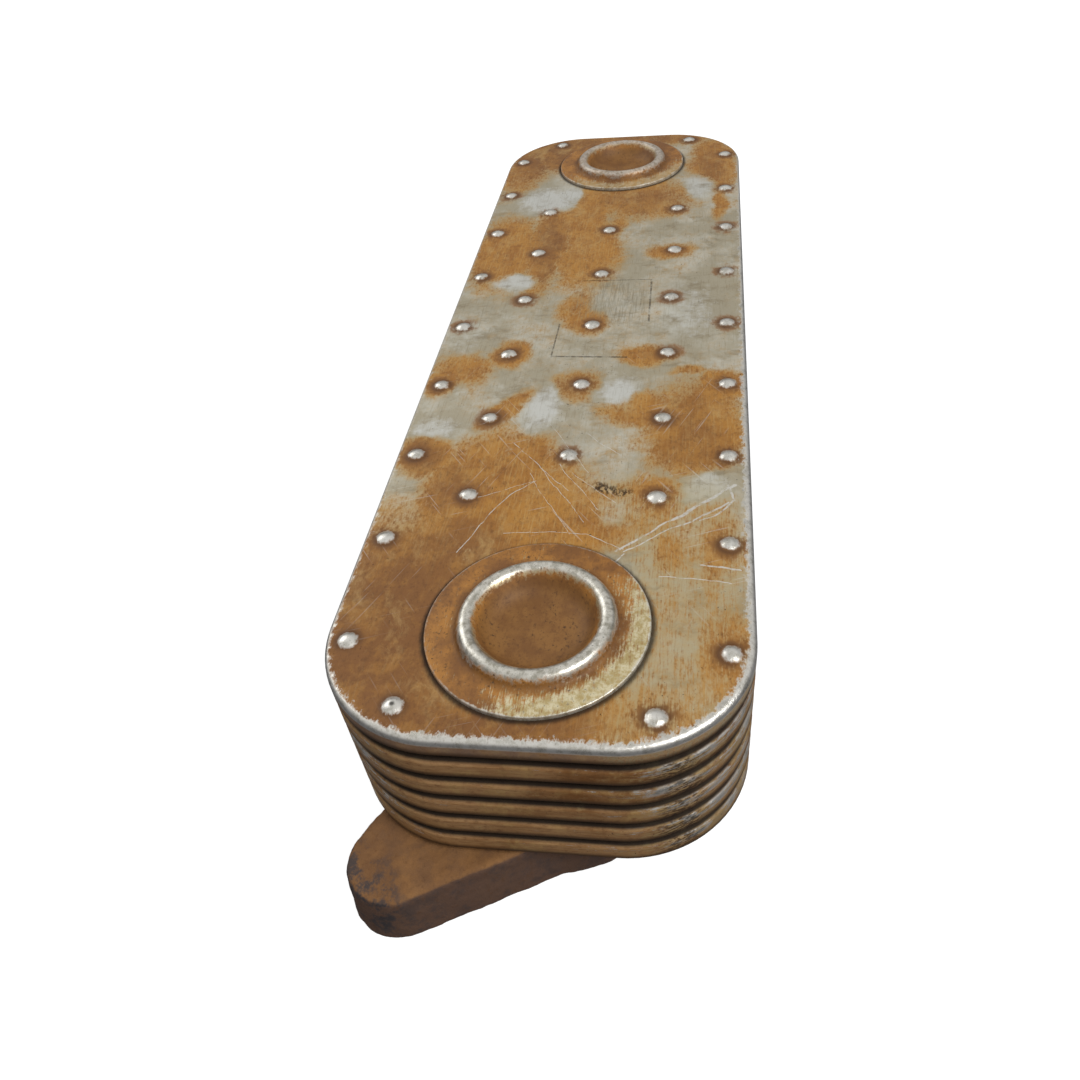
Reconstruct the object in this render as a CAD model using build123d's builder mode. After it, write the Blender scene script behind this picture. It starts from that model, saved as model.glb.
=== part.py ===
"""Stacked-plate hydraulic oil cooler: six brazed stainless elements on two cast port flanges.

Frame: origin midway between the two ports on the flanges' machined faces, +X along the core
towards the front port, +Z up through the stack. All values are millimetres and degrees.
"""

import os
from math import cos, hypot, radians, sin

from build123d import *

# --- Driving dimensions ---------------------------------------------------------------------

# Core outline and stack
core_length = 362
core_width = 110
corner_radius = 34
element_count = 6
element_height = 6.5

# Pressed stainless sheet of the shells
sheet = 0.8
edge_round = 1.6  # outside radius of each shell's pressed edge
nest_clearance = 0.05  # brazing gap between a lower shell's wall and the skirt round it
skirt_lift = 1.0  # the upper shell's skirt stops this far above the element's underside
wall_drop = 0.3  # the lower shell's wall stops this far below the upper shell's inner round

# Dimples that hold the coolant gap open
dimple_height = 1.1
dimple_radius = 2.8
dimple_pitch = 38
dimple_edge_margin = 6.5  # outer columns, from the core's side
inner_column = 28  # inner columns, from the centreline
row_end_margin = 27  # no row of the straight columns comes nearer than this to the core's end
corner_dimple_margin = 7.3
corner_dimple_angle = 23
cap_land = 3.5  # plain sheet kept between a cap's rim and a dimple's foot

# Ports
port_end_distance = 36  # port centre to the core's end
port_hole_radius = 15.5
ring_width = 6.5  # wall of the rings round each port, from the hole outwards
ring_slot_count = 8
ring_slot_width = 4
ring_slot_depth = 3.4

# Turbulator fin inside each element
fin_thickness = 0.3
fin_pitch = 6
fin_crest = 1.6  # width of each flat crest
fin_edge_clearance = 1.5
fin_ring_clearance = 1

# Port caps on the top element
cap_sheet = 1.2
cap_rim_width = 8.4  # flat rim outside the bead
bead_height = 4.4
bead_top_width = 2.4
bead_foot_round = 1.4
bead_top_round = 1.3
bowl_depth = 3
bowl_clearance = 1.4  # between the bowl's wall and the port hole's edge
bowl_lean = 2.9  # the bowl's wall leans out by this from the top sheet up to the bead
bowl_floor_round = 3

# Port flanges under the bottom element
flange_thickness = 16.5
flange_bore_radius = 14
flange_draft = 6
hub_radius = 32.5
waist_radius = 30.5
ear_radius = 14.6
ear_distance = 55.5
ear_blend = 14
flange_angle = -45  # from +X to the outer ear of the front flange
flange_edge_round = 1.6
bore_chamfer = 1
neck_height = 1.2
bolt_radius = 4.25  # tapping size of an M10 thread
bolt_floor = 3.5  # metal left between a blind hole and the flange's upper face
bolt_chamfer = 0.8

# Seals in the flanges' face grooves, at their fitted height
groove_land = 4.5  # machined face kept between the bore and the groove
groove_width = 4.4
groove_depth = 2.4
seal_clearance = 0.2

# --- Derived places -------------------------------------------------------------------------

dimple_gap = 2 * dimple_height  # dimples of neighbouring elements meet crest to crest
element_step = element_height + dimple_gap
core_bottom = flange_thickness + neck_height
core_top = core_bottom + element_count * element_step - dimple_gap
inner_height = element_height - 2 * sheet
port_offset = core_length / 2 - port_end_distance
ports = [("front", port_offset), ("rear", -port_offset)]
lower_inset = sheet + nest_clearance  # from the core's outline to the lower shell's outside
port_ring_radius = port_hole_radius + ring_width
bowl_radius = port_hole_radius - bowl_clearance  # middle of the bowl's wall at the top sheet
bead_inner_radius = bowl_radius + bowl_lean
bead_outer_radius = bead_inner_radius + bead_top_width + cap_sheet
cap_radius = bead_outer_radius + cap_rim_width
groove_inner_radius = flange_bore_radius + groove_land
groove_outer_radius = groove_inner_radius + groove_width
same_place = 0.01  # values nearer to each other than this are the same


def element_base(number):
    """Height of the underside of an element, counted from 1 at the flanges."""
    return core_bottom + (number - 1) * element_step


def dimple_places():
    """Centres of the dimples: five staggered columns and one dimple in each corner."""
    half_length, half_width = core_length / 2, core_width / 2
    outer_column = half_width - dimple_edge_margin
    straight_columns = [(-outer_column, 0), (0, 0), (outer_column, 0)]
    staggered_columns = [(-inner_column, 0.5), (inner_column, 0.5)]
    rows = int(half_length / dimple_pitch) + 1
    clear_of_port = cap_radius + cap_land + dimple_radius
    places = []
    for column, stagger in straight_columns + staggered_columns:
        for row in range(-rows, rows + 1):
            along = (row + stagger) * dimple_pitch
            if abs(along) > half_length - row_end_margin:
                continue
            if hypot(abs(along) - port_offset, column) < clear_of_port:
                continue
            places.append((along, column))
    reach = corner_radius - corner_dimple_margin
    corner_along = half_length - corner_radius + reach * cos(radians(corner_dimple_angle))
    corner_across = half_width - corner_radius + reach * sin(radians(corner_dimple_angle))
    for x_side in (-1, 1):
        for y_side in (-1, 1):
            places.append((x_side * corner_along, y_side * corner_across))
    return places


def core_outline(inset):
    """The core's rounded outline, drawn in by an inset, in the sketch that is being built."""
    return RectangleRounded(
        core_length - 2 * inset, core_width - 2 * inset, corner_radius - inset
    )


def ball_cap(ball_radius, centre_height, floor_height):
    """The part of a ball that stands above a floor."""
    with BuildPart() as cap:
        with Locations((0, 0, centre_height)):
            Sphere(ball_radius)
        split(bisect_by=Plane.XY.offset(floor_height), keep=Keep.TOP)
    return cap.part


# --- Element shells -------------------------------------------------------------------------


def upper_shell():
    """Pressed lid of an element: skirt round its edge, dimples up, one hole at each port.

    Its frame stands on the element's underside.
    """
    ball_radius = (dimple_radius**2 + dimple_height**2) / (2 * dimple_height)
    ball_centre = element_height + dimple_height - ball_radius
    under_sheet = element_height - sheet
    dome = ball_cap(ball_radius, ball_centre, element_height - sheet / 2)
    hollow = ball_cap(ball_radius - sheet, ball_centre, under_sheet - sheet)
    with BuildPart() as shell:
        with BuildSketch(Plane.XY.offset(skirt_lift)):
            core_outline(0)
        extrude(amount=element_height - skirt_lift)
        fillet(shell.faces().sort_by(Axis.Z)[-1].edges(), edge_round)
        with BuildPart(mode=Mode.PRIVATE) as inside:
            with BuildSketch(Plane.XY.offset(skirt_lift)):
                core_outline(sheet)
            extrude(amount=under_sheet - skirt_lift)
            fillet(inside.faces().sort_by(Axis.Z)[-1].edges(), edge_round - sheet)
        add(inside.part, mode=Mode.SUBTRACT)
        with Locations(*dimple_places()):
            add(dome)
        with Locations(*dimple_places()):
            add(hollow, mode=Mode.SUBTRACT)
        with Locations((port_offset, 0, element_height), (-port_offset, 0, element_height)):
            Hole(port_hole_radius)
    return shell.part


def lower_shell():
    """Pressed pan of an element, nested in the skirt: dimples down, one hole at each port.

    Its frame stands on the element's underside.
    """
    ball_radius = (dimple_radius**2 + dimple_height**2) / (2 * dimple_height)
    dome = ball_cap(ball_radius, dimple_height - ball_radius, -sheet / 2)
    hollow = ball_cap(ball_radius - sheet, dimple_height - ball_radius, -2 * sheet)
    wall_height = element_height - edge_round - wall_drop
    with BuildPart() as shell:
        with BuildSketch():
            core_outline(lower_inset)
        extrude(amount=wall_height)
        fillet(shell.faces().sort_by(Axis.Z)[0].edges(), edge_round)
        with BuildPart(mode=Mode.PRIVATE) as inside:
            with BuildSketch(Plane.XY.offset(sheet)):
                core_outline(lower_inset + sheet)
            extrude(amount=wall_height - sheet)
            fillet(inside.faces().sort_by(Axis.Z)[0].edges(), edge_round - sheet)
        add(inside.part, mode=Mode.SUBTRACT)
        downwards = [Location((x, y, 0), (180, 0, 0)) for x, y in dimple_places()]
        with Locations(*downwards):
            add(dome)
        with Locations(*downwards):
            add(hollow, mode=Mode.SUBTRACT)
        with Locations((port_offset, 0, sheet), (-port_offset, 0, sheet)):
            Hole(port_hole_radius)
    return shell.part


# --- Inside an element ----------------------------------------------------------------------


def turbulator():
    """Corrugated fin between an element's shells, cut round the port rings.

    Its frame stands on the lower shell's floor.
    """
    fin_inset = lower_inset + sheet + fin_edge_clearance
    waves = int((core_width / 2 - fin_inset) / fin_pitch)
    low, high = fin_thickness / 2, inner_height - fin_thickness / 2
    ramp = fin_pitch / 2 - fin_crest
    middle_line = []
    for wave in range(-waves, waves):
        start = wave * fin_pitch
        middle_line += [
            (start, low),
            (start + fin_crest, low),
            (start + fin_crest + ramp, high),
            (start + 2 * fin_crest + ramp, high),
        ]
    middle_line.append((waves * fin_pitch, low))
    with BuildPart() as fin:
        with BuildSketch(Plane.YZ):
            with BuildLine():
                Polyline(*middle_line)
                offset(amount=fin_thickness / 2, kind=Kind.INTERSECTION, side=Side.BOTH)
            make_face()
        extrude(amount=core_length / 2, both=True)
        with BuildSketch():
            core_outline(fin_inset)
            with Locations((port_offset, 0), (-port_offset, 0)):
                Circle(port_ring_radius + fin_ring_clearance, mode=Mode.SUBTRACT)
        extrude(amount=inner_height, mode=Mode.INTERSECT)
    return fin.part


def port_ring():
    """Support ring round a port inside an element, slotted so that oil can reach the fin."""
    with BuildPart() as ring:
        Cylinder(port_ring_radius, inner_height, align=(Align.CENTER, Align.CENTER, Align.MIN))
        Hole(port_hole_radius)
        with BuildSketch(Plane.XY.offset(inner_height)):
            with PolarLocations(port_ring_radius, ring_slot_count):
                Rectangle(2 * port_ring_radius, ring_slot_width)
        extrude(amount=-ring_slot_depth, mode=Mode.SUBTRACT)
    return ring.part


def spacer_ring():
    """Plain ring that seals a port across the coolant gap between two elements."""
    with BuildPart() as ring:
        Cylinder(port_ring_radius, dimple_gap, align=(Align.CENTER, Align.CENTER, Align.MIN))
        Hole(port_hole_radius)
    return ring.part


# --- Port caps ------------------------------------------------------------------------------


def port_cap():
    """Pressed cap that closes a port on top: flat rim, raised bead, sunk bowl.

    Its frame stands on the top shell, on the port's axis.
    """
    middle = cap_sheet / 2
    bead_middle = bead_height - middle
    floor_radius = bowl_radius - bowl_lean * bowl_depth / bead_middle
    corners = [
        (cap_radius, middle),
        (bead_outer_radius, middle),
        (bead_outer_radius - cap_sheet, bead_middle),
        (bead_inner_radius, bead_middle),
        (floor_radius, -bowl_depth),
        (0, -bowl_depth),
    ]
    rounds = [bead_foot_round, bead_top_round, bead_top_round, bowl_floor_round]
    with BuildPart() as cap:
        with BuildSketch(Plane.XZ):
            with BuildLine(mode=Mode.PRIVATE) as middle_line:
                FilletPolyline(*corners, radius=rounds)
            trace(middle_line.line, line_width=cap_sheet)
        revolve(axis=Axis.Z)
    return cap.part


# --- Port flanges and seals -----------------------------------------------------------------


def port_flange():
    """Cast two-eared flange: oil bore, face groove for the seal and two blind tapped holes.

    Its frame stands on the machined face, on the bore's axis, with the ears along X.
    """
    ears = [(ear_distance, 0), (-ear_distance, 0)]
    with BuildPart() as flange:
        with BuildSketch() as outline:
            with Locations(*ears):
                Circle(ear_radius)
            Circle(waist_radius)
            make_hull()
            Circle(hub_radius)
            on_hub = outline.vertices().filter_by(
                lambda v: abs(hypot(v.X, v.Y) - hub_radius) < same_place < abs(v.Y)
            )
            fillet(on_hub, ear_blend)
        extrude(amount=flange_thickness, taper=flange_draft)
        fillet(flange.faces().sort_by(Axis.Z)[-1].edges(), flange_edge_round)
        with Locations((0, 0, flange_thickness)):
            Cylinder(
                port_ring_radius,
                neck_height,
                align=(Align.CENTER, Align.CENTER, Align.MIN),
            )
        with BuildSketch():
            Circle(groove_outer_radius)
            Circle(groove_inner_radius, mode=Mode.SUBTRACT)
        extrude(amount=groove_depth, mode=Mode.SUBTRACT)
        with BuildSketch():
            Circle(flange_bore_radius)
        extrude(amount=core_bottom, mode=Mode.SUBTRACT)
        with BuildSketch():
            with Locations(*ears):
                Circle(bolt_radius)
        extrude(amount=flange_thickness - bolt_floor, mode=Mode.SUBTRACT)
        full_circles = flange.edges().filter_by(GeomType.CIRCLE).filter_by(lambda e: e.is_closed)
        mouths = full_circles.group_by(Axis.Z)[0]
        bore_mouth = mouths.filter_by(lambda e: abs(e.radius - flange_bore_radius) < same_place)
        bolt_mouths = mouths.filter_by(lambda e: abs(e.radius - bolt_radius) < same_place)
        chamfer(bore_mouth, bore_chamfer)
        chamfer(bolt_mouths, bolt_chamfer)
    return flange.part


def port_seal():
    """Square-section rubber ring in a flange's groove, flush with the machined face."""
    with BuildPart() as seal:
        with BuildSketch():
            Circle(groove_outer_radius - seal_clearance)
            Circle(groove_inner_radius + seal_clearance, mode=Mode.SUBTRACT)
        extrude(amount=groove_depth)
    return seal.part


# --- Assembly -------------------------------------------------------------------------------


def write(shape, name, x=0.0, z=0.0, turn=0.0):
    """Puts a copy of a piece in its place and writes it as one named node."""
    piece = shape.moved(Location((x, 0, z), (0, 0, turn)))
    piece.label = name
    export_step(piece, f"parts/{name}.step")


os.makedirs("parts", exist_ok=True)

lid, pan, fin = upper_shell(), lower_shell(), turbulator()
ring, spacer = port_ring(), spacer_ring()
for number in range(1, element_count + 1):
    base = element_base(number)
    write(lid, f"element_{number}_upper_shell", z=base)
    write(pan, f"element_{number}_lower_shell", z=base)
    write(fin, f"element_{number}_turbulator", z=base + sheet)
    for side, port_x in ports:
        write(ring, f"element_{number}_{side}_port_ring", x=port_x, z=base + sheet)
        if number < element_count:
            write(spacer, f"{side}_spacer_ring_{number}", x=port_x, z=base + element_height)

cap, flange, seal = port_cap(), port_flange(), port_seal()
for side, port_x in ports:
    write(cap, f"{side}_port_cap", x=port_x, z=core_top)
    write(flange, f"{side}_port_flange", x=port_x, turn=flange_angle)
    write(seal, f"{side}_port_seal", x=port_x)
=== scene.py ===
"""Stacked-plate hydraulic oil cooler: the finished pieces and their materials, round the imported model.

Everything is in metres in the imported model's frame: +X towards the front port, +Y across, +Z up.
"""

import math

import bmesh
import bpy
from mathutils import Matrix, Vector, noise


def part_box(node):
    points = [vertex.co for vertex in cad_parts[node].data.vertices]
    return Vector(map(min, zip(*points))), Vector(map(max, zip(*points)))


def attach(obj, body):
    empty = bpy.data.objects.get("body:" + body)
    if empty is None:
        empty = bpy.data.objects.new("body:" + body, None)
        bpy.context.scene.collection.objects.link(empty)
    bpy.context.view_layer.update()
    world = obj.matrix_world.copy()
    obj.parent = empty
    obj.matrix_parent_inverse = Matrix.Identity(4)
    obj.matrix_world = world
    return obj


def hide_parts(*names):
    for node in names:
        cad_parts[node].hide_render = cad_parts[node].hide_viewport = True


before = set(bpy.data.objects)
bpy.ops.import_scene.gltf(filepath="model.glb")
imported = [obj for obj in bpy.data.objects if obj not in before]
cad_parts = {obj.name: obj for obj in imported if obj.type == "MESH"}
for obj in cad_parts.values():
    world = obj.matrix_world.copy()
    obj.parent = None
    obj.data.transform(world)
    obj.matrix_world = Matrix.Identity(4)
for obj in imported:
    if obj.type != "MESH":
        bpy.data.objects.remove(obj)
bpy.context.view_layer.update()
mm = 0.001

# --- Studio ---------------------------------------------------------------------------------
# The cooler stands on its two flanges on a pale floor, under a bright ceiling and two large
# soft lamps, and is seen from its front end, from above and a little to the left.

camera = bpy.data.objects.new("camera", bpy.data.cameras.new("camera"))
bpy.context.scene.collection.objects.link(camera)
camera.location = (0.29778, 0.04117, 0.24609)
camera.rotation_euler = [math.radians(angle) for angle in (46.78, 5.262, 97.002)]
camera.data.lens = 31.06
camera.data.shift_x = -0.0185
camera.data.shift_y = -0.0065
camera.data.clip_start = 0.01
bpy.context.scene.camera = camera
bpy.context.scene.view_settings.view_transform = "Standard"


def soft_lamp(name, place, aim, size, power):
    """A square lamp that points at a place on the cooler."""
    lamp = bpy.data.objects.new(name, bpy.data.lights.new(name, "AREA"))
    bpy.context.scene.collection.objects.link(lamp)
    lamp.location = place
    lamp.rotation_euler = (Vector(aim) - Vector(place)).to_track_quat("-Z", "Y").to_euler()
    lamp.data.size = size
    lamp.data.energy = power


soft_lamp("key_lamp", (0.55, 0.75, 0.95), (0.05, 0, 0.05), 0.45, 10)
soft_lamp("fill_lamp", (-0.5, -0.9, 0.8), (0, 0, 0.05), 0.8, 4)

world = bpy.data.worlds.new("studio_ceiling")
bpy.context.scene.world = world
world.use_nodes = True
world.node_tree.nodes["Background"].inputs["Strength"].default_value = 0.8
look = world.node_tree.nodes.new("ShaderNodeTexCoord")
split = world.node_tree.nodes.new("ShaderNodeSeparateXYZ")
ceiling = world.node_tree.nodes.new("ShaderNodeValToRGB")
ceiling.color_ramp.elements[0].position = 0.0
ceiling.color_ramp.elements[0].color = (0.16, 0.16, 0.17, 1)
ceiling.color_ramp.elements[1].position = 0.7
ceiling.color_ramp.elements[1].color = (1.0, 0.99, 0.97, 1)
world.node_tree.links.new(look.outputs["Generated"], split.inputs[0])
world.node_tree.links.new(split.outputs["Z"], ceiling.inputs[0])
world.node_tree.links.new(ceiling.outputs[0], world.node_tree.nodes["Background"].inputs["Color"])

bpy.ops.object.select_all(action="DESELECT")
floor_drop = 0.2 * mm  # keeps the floor just clear of the machined faces
bpy.ops.mesh.primitive_plane_add(size=30, location=(0, 0, -floor_drop))
floor = bpy.context.object
floor.name = "studio_floor"
bpy.ops.mesh.primitive_uv_sphere_add(segments=48, ring_count=24, radius=18, location=(0, 0, 0))
backdrop = bpy.context.object
backdrop.name = "studio_backdrop"
backdrop.visible_shadow = False
# The floor and backdrop glow evenly white, and throw no light back onto the cooler.
for stand in (floor, backdrop):
    stand.visible_diffuse = False
    stand.visible_glossy = False


def studio_paint(name, base, light):
    """A matt paint that glows."""
    finish = bpy.data.materials.new(name)
    finish.use_nodes = True
    shader = finish.node_tree.nodes["Principled BSDF"]
    shader.inputs["Base Color"].default_value = (base, base, base, 1)
    shader.inputs["Roughness"].default_value = 1.0
    shader.inputs["Specular IOR Level"].default_value = 0.0
    shader.inputs["Emission Color"].default_value = (1, 1, 1, 1)
    shader.inputs["Emission Strength"].default_value = light
    return finish


floor.data.materials.append(studio_paint("studio_paper", 0.3, 0.85))
backdrop.data.materials.append(studio_paint("studio_glow", 0.0, 1.0))

# --- Stained stainless sheet ----------------------------------------------------------------
# All twelve shells are pressed from the same satin stainless sheet. Years in hot coolant have
# left a rust-brown film on it, rubbed off along the rims, on the dimples and in patches.

half_length, half_width, top_of_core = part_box("element_6_upper_shell")[1]
dimple_height = 1.1 * mm
top_of_core -= dimple_height
bottom_of_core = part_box("element_1_lower_shell")[0].z + dimple_height
element_step = 8.7 * mm  # from one element to the next
corner_radius = 34 * mm
port_x = 145 * mm
dimple_pitch = 38 * mm
outer_column = 48.5 * mm
inner_column = 28 * mm
corner_dimple = (171.6 * mm, 31.4 * mm)


def paint(red, green, blue):
    """A colour given as it looks, from 0 to 255, in the linear values that nodes take."""
    return [(value / 255) ** 2.2 for value in (red, green, blue)] + [1]


def add(tree, kind, inputs=(), **settings):
    """One node of a material, with its inputs set or linked, given in order or by name."""
    node = tree.nodes.new("ShaderNode" + kind)
    for name, value in settings.items():
        setattr(node, name, value)
    pairs = inputs.items() if isinstance(inputs, dict) else enumerate(inputs)
    for place, value in pairs:
        if isinstance(value, bpy.types.NodeSocket):
            tree.links.new(value, node.inputs[place])
        elif value is not None:
            node.inputs[place].default_value = value
    return node


def sums(tree, operation, *values, clamp=False):
    """The result of a Math node."""
    return add(tree, "Math", values, operation=operation, use_clamp=clamp).outputs[0]


def times(tree, first, second):
    """Multiplies two values."""
    return sums(tree, "MULTIPLY", first, second)


def vectors(tree, operation, *values):
    """The result of a Vector Math node."""
    node = add(tree, "VectorMath", values, operation=operation)
    return node.outputs["Value" if operation in ("LENGTH", "DOT_PRODUCT") else "Vector"]


def ramp(tree, value, low, high, start=0.0, end=1.0):
    """Goes smoothly from start, where the value is low, to end, where it is high."""
    made = add(tree, "MapRange", (value, low, high, start, end), interpolation_type="SMOOTHSTEP")
    return made.outputs[0]


def blotches(tree, point, size, detail=4.0, rough=0.55, stretch=(1, 1, 1)):
    """Cloudy noise from 0 to 1 whose blotches are about the given size, in millimetres."""
    scaled = vectors(tree, "MULTIPLY", point, [share / size for share in stretch])
    inputs = {"Vector": scaled, "Scale": 1.0, "Detail": detail, "Roughness": rough}
    return add(tree, "TexNoise", inputs).outputs["Fac"]


def blend(tree, share, first, second):
    """Mixes two colours."""
    return add(tree, "Mix", {0: share, 6: first, 7: second}, data_type="RGBA").outputs[2]


def float_mix(tree, share, first, second):
    """Mixes two values."""
    return add(tree, "Mix", {0: share, 2: first, 3: second}, data_type="FLOAT").outputs[0]


def roughen(tree, value, *noises):
    """Adds noises to a value, each with its strength and evened out round zero."""
    for noise_value, strength in noises:
        spread = sums(tree, "MULTIPLY_ADD", noise_value, strength, -strength / 2)
        value = sums(tree, "ADD", value, spread)
    return value


def strongest(tree, masks):
    """The largest of several masks."""
    result = masks[0]
    for mask in masks[1:]:
        result = sums(tree, "MAXIMUM", result, mask)
    return result


def new_group(name, inputs):
    """An empty node group with one value as its output, and its input sockets."""
    tree = bpy.data.node_groups.new(name, "ShaderNodeTree")
    for socket, kind in inputs:
        tree.interface.new_socket(socket, in_out="INPUT", socket_type="NodeSocket" + kind)
    tree.interface.new_socket("Mask", in_out="OUTPUT", socket_type="NodeSocketFloat")
    return tree, tree.nodes.new("NodeGroupInput").outputs, tree.nodes.new("NodeGroupOutput")


# A patch is an oval stain with a soft edge. A scratch is a thin line between two points.
patch_group, given, result = new_group(
    "patch", [("Point", "Vector"), ("Centre", "Vector"), ("Share", "Vector"), ("Turn", "Float")]
)
offset = vectors(patch_group, "SUBTRACT", given["Point"], given["Centre"])
turned = add(
    patch_group, "VectorRotate", {"Vector": offset, "Angle": given["Turn"]}, rotation_type="Z_AXIS"
).outputs[0]
across = vectors(patch_group, "LENGTH", vectors(patch_group, "MULTIPLY", turned, given["Share"]))
patch_group.links.new(ramp(patch_group, across, 0.35, 1.45, 1, 0), result.inputs[0])

scratch_group, given, result = new_group(
    "scratch", [("Point", "Vector"), ("Start", "Vector"), ("Run", "Vector"), ("Width", "Float")]
)
offset = vectors(scratch_group, "SUBTRACT", given["Point"], given["Start"])
run_squared = vectors(scratch_group, "DOT_PRODUCT", given["Run"], given["Run"])
along = sums(
    scratch_group,
    "DIVIDE",
    vectors(scratch_group, "DOT_PRODUCT", offset, given["Run"]),
    run_squared,
    clamp=True,
)
nearest = add(
    scratch_group, "VectorMath", {0: given["Run"], "Scale": along}, operation="SCALE"
).outputs[0]
away = vectors(scratch_group, "LENGTH", vectors(scratch_group, "SUBTRACT", offset, nearest))
share_away = sums(scratch_group, "DIVIDE", away, given["Width"])
scratch_group.links.new(ramp(scratch_group, share_away, 0.4, 1.0, 1, 0), result.inputs[0])


def patches(tree, point, ovals):
    """Mask of several stains: centre x, y, half sizes x, y in millimetres, turn in degrees, weight."""
    masks = []
    for x, y, half_x, half_y, turn, weight in ovals:
        node = tree.nodes.new("ShaderNodeGroup")
        node.node_tree = patch_group
        tree.links.new(point, node.inputs["Point"])
        node.inputs["Centre"].default_value = (x, y, 0)
        node.inputs["Share"].default_value = (1 / half_x, 1 / half_y, 0)
        node.inputs["Turn"].default_value = math.radians(-turn)
        masks.append(times(tree, node.outputs[0], weight))
    return strongest(tree, masks)


def scratches(tree, point, lines):
    """Mask of several scratches: start x, y, end x, y and half width, in millimetres."""
    point = vectors(tree, "MULTIPLY", point, (1, 1, 0))
    masks = []
    for x0, y0, x1, y1, width in lines:
        node = tree.nodes.new("ShaderNodeGroup")
        node.node_tree = scratch_group
        tree.links.new(point, node.inputs["Point"])
        node.inputs["Start"].default_value = (x0, y0, 0)
        node.inputs["Run"].default_value = (x1 - x0, y1 - y0, 0)
        node.inputs["Width"].default_value = width
        masks.append(node.outputs[0])
    return strongest(tree, masks)


def new_material(name):
    """A material with its tree, its shader and the place on the cooler in millimetres."""
    material = bpy.data.materials.new(name)
    material.use_nodes = True
    tree = material.node_tree
    place = add(tree, "TexCoord").outputs["Object"]
    point = vectors(tree, "MULTIPLY", place, (1 / mm, 1 / mm, 1 / mm))
    return material, tree, tree.nodes["Principled BSDF"], point


def height_to_bump(tree, shader, height, depth):
    """Roughens the surface by a height from 0 to 1 that stands for a depth in millimetres."""
    bump = add(tree, "Bump", {"Height": height, "Distance": depth * mm, "Strength": 1.0})
    tree.links.new(bump.outputs[0], shader.inputs["Normal"])


bare_sheet = paint(158, 150, 130)
pale_sheet = paint(184, 182, 170)
silver_sheet = paint(188, 188, 182)
olive_sheet = paint(172, 162, 132)
drab_sheet = paint(116, 102, 76)
dull_steel = paint(178, 175, 166)
bright_steel = paint(206, 204, 198)
thin_film = paint(168, 138, 88)
side_film = paint(156, 120, 82)
ochre_film = paint(154, 109, 50)
orange_film = paint(135, 90, 39)
brown_film = paint(112, 75, 40)
dark_film = paint(82, 54, 30)
# A dark brown used as painted shade towards the skirts' lower edges.
skirt_shade_brown = paint(60, 42, 26)
# Near-black, used for soot and pits, and as painted shade in the gaps and round the caps.
soot_and_shade = paint(26, 21, 18)

# Stains of the top sheet.
brown_ovals = [
    (150, -40, 44, 24, 0, 1.0),
    (176, -14, 11, 34, 0, 1.0),
    (128, -26, 24, 13, 0, 0.8),
    (76, -47, 10, 7, 0, 0.7),
    (93, -33, 12, 9, 0, 0.6),
    (-62, -24, 34, 6, 4, 0.7),
    (-160, -38, 30, 20, 20, 0.9),
    (-174, 0, 10, 42, 0, 0.7),
    (62, 36, 22, 12, 0, 0.45),
    (-104, 12, 14, 18, 0, 0.45),
    (-140, 42, 20, 6, 0, 0.5),
    (38, -2, 7, 8, 0, 0.5),
]
rust_ovals = [
    (150, -36, 50, 30, 0, 1.0),
    (176, -8, 13, 42, 0, 1.0),
    (104, -14, 26, 27, 0, 1.0),
    (88, -31, 24, 12, -20, 0.9),
    (76, -46, 12, 9, 0, 0.95),
    (106, 6, 16, 20, 0, 0.85),
    (61, 38, 25, 16, 0, 1.0),
    (52, 20, 10, 12, 0, 0.9),
    (39, 47, 9, 9, 0, 0.9),
    (82, -14, 18, 11, 0, 0.9),
    (36, -49, 9, 6, 0, 0.9),
    (27, -43, 12, 10, 30, 0.8),
    (19, -28, 9, 8, 0, 0.9),
    (50, -22, 14, 5, -35, 0.85),
    (-60, -42, 32, 14, 0, 1.0),
    (-62, -25, 38, 9, 0, 1.0),
    (-90, -11, 38, 10, 0, 1.0),
    (-58, -7, 32, 14, 0, 0.85),
    (-108, 10, 22, 24, 0, 0.8),
    (-142, 43, 30, 11, 0, 1.0),
    (-146, -46, 34, 12, 0, 0.85),
    (-165, -28, 24, 26, 0, 1.0),
    (-176, 5, 10, 40, 0, 0.8),
    (-98, 46, 16, 4, 0, 0.7),
    (-2, -3, 8, 8, 0, 0.9),
    (-12, -7, 14, 7, 0, 0.6),
    (21, 20, 6, 10, 0, 0.85),
    (31, 35, 3, 7, 0, 0.7),
    (38, -1, 9, 10, 0, 0.7),
    (94, 27, 10, 8, 0, 0.8),
    (118, 31, 7, 4, 0, 0.7),
    (119, 45, 13, 4, 0, 0.75),
    (150, 47, 11, 6, 0, 0.8),
    (172, 26, 9, 9, 0, 0.55),
    (-56, 26, 7, 9, 0, 0.7),
    (-80, 3, 14, 5, 0, 0.6),
]
bare_ovals = [
    (50, -12, 12, 7, 0, 1.0),
    (42, 13, 10, 7, 0, 1.0),
    (-108, -31, 14, 13, 0, 1.0),
    (-112, -21, 9, 6, 0, 0.9),
    (-33, -34, 6, 10, 0, 0.9),
    (101, 16, 7, 5, 30, 0.8),
    (-118, 37, 13, 6, 0, 0.8),
    (62, -45, 7, 9, 0, 0.7),
    (-10, 36, 22, 10, 0, 0.5),
    (12, -46, 12, 6, 0, 0.4),
    (90, 42, 7, 8, 30, 0.8),
]
rubbed_ovals = [
    (160, 34, 34, 20, 0, 1.0),
    (118, 38, 34, 18, 0, 1.0),
    (96, 20, 14, 12, 0, 0.6),
]
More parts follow.
